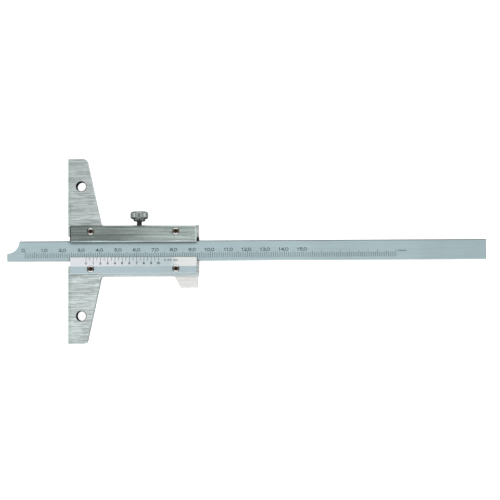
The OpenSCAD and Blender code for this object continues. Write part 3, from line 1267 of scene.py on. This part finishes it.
@dataclass
class MainBeam:
    """The graduated beam with its main scale."""

    finishes: Finishes
    scale_start: float = 9.8 * MM
    scale_lines: int = 201
    pitch: float = 1.0 * MM
    line_foot: float = -3.7 * MM
    line_lengths: tuple[float, float, float] = (2.6 * MM, 3.2 * MM, 3.7 * MM)
    last_label: int = 15
    figure_size: Writing = (1.5 * MM, 1.45 * MM, 0.3 * MM, 0.35 * MM)
    figure_foot: float = -0.18 * MM
    line_gap: float = 0.38 * MM
    unit_size: Writing = (1.65 * MM, 0.85 * MM, 0.2 * MM, 0.45 * MM)
    unit_place: Point = (1.4 * MM, -0.88 * MM)

    def build(self, lines: GraduationTree, enamel: bpy.types.Material) -> None:
        """Adds the line filling and the figures.

        Args:
            lines: The tree that sets out rows of lines.
            enamel: Their filling.
        """
        low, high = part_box("main_beam")
        first = low.x + self.scale_start
        short, middle, long = (n - Graduation.clear for n in self.line_lengths)
        row = Graduation(
            count=self.scale_lines,
            pitch=self.pitch,
            first_x=first,
            short=short,
            middle=middle,
            long=long,
            middle_every=5,
            long_every=10,
            origin=(0.0, self.line_foot + Graduation.clear / 2, high.z - Graduation.sink),
            turn=(0.0, 0.0, 0.0),
        )
        attach(lines.fill("main_scale_lines", row, enamel), Body.BEAM)
        figures = Figures(self.figure_size)
        for label in range(self.last_label + 1):
            self.label(figures, label, first + 10 * label * self.pitch)
        surface = Matrix.Translation((0, 0, high.z))
        attach(figures.piece("main_scale_figures", surface, enamel), Body.BEAM)
        unit = Figures(self.unit_size)
        end = first + (self.scale_lines - 1) * self.pitch
        unit.write("mm", end + self.unit_place[0], self.unit_place[1])
        attach(unit.piece("main_scale_unit", surface, enamel), Body.BEAM)

    def label(self, figures: Figures, tens: int, line_x: float) -> None:
        """Writes one label, with its long line between the last two figures.

        Args:
            figures: The writing to add to.
            tens: The label's value in tens of millimetres.
            line_x: Where its line is.
        """
        text = str(tens)
        start = line_x - self.line_gap - figures.length(text)
        figures.write(text, start, self.figure_foot)
        if tens:
            figures.write("0", line_x + self.line_gap, self.figure_foot)

    def dress(self) -> None:
        """Gives the beam its finish."""
        dress("main_beam", self.finishes.beam.material())


@dataclass
class Slider:
    """The base with its two plates, their screws and the vernier."""

    finishes: Finishes
    scale_start: float = 9.8 * MM
    divisions: int = 20
    vernier_length: float = 39 * MM
    bevel_width: float = 5.0 * MM
    edge_thickness: float = 0.2 * MM
    line_short: float = 2.1 * MM
    line_long: float = 2.9 * MM
    figure_size: Writing = (0.85 * MM, 0.95 * MM, 0.28 * MM, 0.22 * MM)
    figure_drop: float = 4.05 * MM
    mark_size: Writing = (0.78 * MM, 0.85 * MM, 0.2 * MM, 0.34 * MM)
    mark_place: Point = (52 * MM, -2.2 * MM)
    screws: tuple[str, ...] = (
        "cover_screw_left",
        "cover_screw_right",
        "vernier_screw_left",
        "vernier_screw_right",
    )

    def bevel(self) -> tuple[Vector, float]:
        """Returns the edge of the vernier's bevel and how far the bevel tilts."""
        low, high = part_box("vernier_plate")
        rise = high.z - low.z - self.edge_thickness
        edge = Vector((0, high.y, low.z + self.edge_thickness))
        return edge, math.atan2(rise, self.bevel_width)

    def build(self, lines: GraduationTree, enamel: bpy.types.Material) -> None:
        """Adds the vernier's line filling, figures and resolution mark.

        Args:
            lines: The tree that sets out rows of lines.
            enamel: Their filling.
        """
        edge, tilt = self.bevel()
        pitch = self.vernier_length / self.divisions
        normal = Vector((0, math.sin(tilt), math.cos(tilt)))
        row = Graduation(
            count=self.divisions + 1,
            pitch=-pitch,
            first_x=-self.scale_start,
            short=self.line_short - Graduation.clear,
            middle=self.line_long - Graduation.clear,
            long=self.line_long - Graduation.clear,
            middle_every=2,
            long_every=2,
            origin=tuple(edge - normal * Graduation.sink),
            turn=(tilt, 0.0, math.pi),
        )
        attach(lines.fill("vernier_lines", row, enamel), Body.BASE)
        surface = Matrix.Translation(edge) @ Matrix.Rotation(-tilt, 4, "X")
        figures = Figures(self.figure_size)
        for i in range(0, self.divisions + 1, 2):
            text = str(i // 2)
            left = self.scale_start + i * pitch - figures.length(text) / 2
            figures.write(text, left, -self.figure_drop)
        attach(figures.piece("vernier_figures", surface, enamel), Body.BASE)
        mark = Figures(self.mark_size)
        mark.write("0.05 mm", *self.mark_place)
        attach(mark.piece("vernier_resolution", surface, enamel), Body.BASE)

    def dress(self) -> None:
        """Gives the base, the plates and their screws their finishes."""
        dress("base_frame", self.finishes.base.material())
        dress("cover_plate", self.finishes.cover.material())
        dress("vernier_plate", self.finishes.vernier.material())
        dress_turned(self.screws, self.finishes.screw)


@dataclass
class Clamp:
    """The clamp screw, the gib strip that it presses, and the gib screws."""

    finishes: Finishes
    gib_screws: tuple[str, ...] = ("gib_screw_left", "gib_screw_right")

    def dress(self) -> None:
        """Gives each piece its finish."""
        dress_turned(("clamp_screw",), self.finishes.clamp)
        dress("gib_strip", self.finishes.gib.material())
        dress_turned(self.gib_screws, self.finishes.gib_screw)


@dataclass(frozen=True)
class Softbox:
    """A soft light with a plain rectangular face."""

    name: str
    azimuth: float
    elevation: float
    distance: float
    width: float
    height: float
    radiance: float

    def add(self, aim: Vector) -> None:
        """Puts the light up, facing a point.

        Args:
            aim: What it faces.
        """
        turn, rise = math.radians(self.azimuth), math.radians(self.elevation)
        away = Vector(
            (math.cos(turn) * math.cos(rise), math.sin(turn) * math.cos(rise), math.sin(rise))
        )
        light = bpy.data.lights.new(self.name, "AREA")
        light.shape = "RECTANGLE"
        light.size, light.size_y = self.width, self.height
        light.energy = self.radiance * math.pi * self.width * self.height
        lamp = linked(self.name, light)
        lamp.location = aim + away * self.distance
        lamp.rotation_euler = away.to_track_quat("Z", "Y").to_euler()


@dataclass
class Studio:
    """The floor, the light and the camera."""

    floor_size: float = 6.0
    floor_z: float = -0.1 * MM
    floor_tone: float = 0.6
    floor_glow: float = 0.93
    target: tuple[float, float, float] = (98.2 * MM, 0.14 * MM, 6.8 * MM)
    distance: float = 759.95 * MM
    camera_tilt: float = 2.5
    camera_turn: float = -0.31
    lens: float = 101.4
    sensor: float = 36.0
    sky_strength: float = 2.0
    sky: tuple[tuple[float, float], ...] = (
        (0.0, 0.15),
        (0.3, 0.33),
        (0.6, 0.4),
        (0.85, 0.5),
        (0.945, 0.85),
        (0.982, 0.08),
    )
    softboxes: tuple[Softbox, ...] = (
        Softbox("softbox_top", 90, 50, 1.2, 1.4, 0.6, 0.3),
        Softbox("softbox_back", 90, 8, 1.3, 1.5, 0.4, 1.0),
        Softbox("softbox_bottom", -90, 14, 1.3, 1.5, 0.4, 2.0),
        Softbox("softbox_right", 0, 16, 1.3, 0.9, 0.4, 2.4),
        Softbox("softbox_left", 180, 20, 1.3, 0.9, 0.3, 2.1),
    )

    def build(self) -> None:
        """Sets up everything round the gauge."""
        self.floor()
        self.light()
        self.camera()
        bpy.context.scene.view_settings.view_transform = "Standard"

    def floor(self) -> None:
        """Lays a plain pale floor under the gauge.

        The floor glows evenly for the camera, as a light table does, so the
        gauge casts next to no shadow, and it lights nothing from below.
        """
        half = self.floor_size / 2
        mesh = bpy.data.meshes.new("floor")
        corners = [(-half, -half), (half, -half), (half, half), (-half, half)]
        mesh.from_pydata([(x, y, self.floor_z) for x, y in corners], [], [(0, 1, 2, 3)])
        material, nodes = empty_material("pale_floor")
        seen = nodes.add("ShaderNodeLightPath").outputs["Is Camera Ray"]
        shader = nodes.add(
            "ShaderNodeBsdfPrincipled",
            {
                "Base Color": grey(self.floor_tone),
                "Roughness": 0.9,
                "Specular IOR Level": 0.1,
                "Emission Color": grey(1.0),
                "Emission Strength": nodes.math("MULTIPLY", seen, self.floor_glow),
            },
        )
        nodes.add("ShaderNodeOutputMaterial", {"Surface": shader.outputs[0]})
        mesh.materials.append(material)
        floor = linked("floor", mesh)

    def light(self) -> None:
        """Lights the gauge from a pale tent with five softboxes."""
        world = bpy.data.worlds.new("tent")
        bpy.context.scene.world = world
        world.use_nodes = True
        world.node_tree.nodes.clear()
        nodes = Nodes(world.node_tree)
        place = nodes.add("ShaderNodeTexCoord").outputs["Generated"]
        ramp = nodes.add("ShaderNodeValToRGB", {0: nodes.parts(place)["Z"]})
        stops = ramp.color_ramp.elements
        while len(stops) < len(self.sky):
            stops.new(0.5)
        for stop, (height, level) in zip(stops, self.sky):
            stop.position = height
            stop.color = (level, level, level, 1)
        glow = nodes.add(
            "ShaderNodeBackground",
            {"Color": ramp.outputs[0], "Strength": self.sky_strength},
        )
        nodes.add("ShaderNodeOutputWorld", {"Surface": glow.outputs[0]})
        for softbox in self.softboxes:
            softbox.add(Vector((self.target[0], 0, 0)))

    def camera(self) -> None:
        """Looks down on the gauge from a little below its middle, as the photograph does."""
        data = bpy.data.cameras.new("camera")
        data.lens, data.sensor_width = self.lens, self.sensor
        camera = linked("camera", data)
        turn = Euler((math.radians(self.camera_tilt), 0, math.radians(self.camera_turn)))
        back = turn.to_matrix() @ Vector((0, 0, self.distance))
        camera.location = Vector(self.target) + back
        camera.rotation_euler = turn
        bpy.context.scene.camera = camera


def main() -> None:
    """Dresses the gauge, sets up the studio and reports each piece."""
    logging.basicConfig(level=logging.INFO, format="%(name)s: %(message)s")
    finishes = Finishes()
    lines = GraduationTree()
    enamel = finishes.enamel.material()
    beam, slider, clamp = MainBeam(finishes), Slider(finishes), Clamp(finishes)
    beam.build(lines, enamel)
    slider.build(lines, enamel)
    for assembly in (beam, slider, clamp):
        assembly.dress()
    Studio().build()


if __name__ == "__main__":
    main()
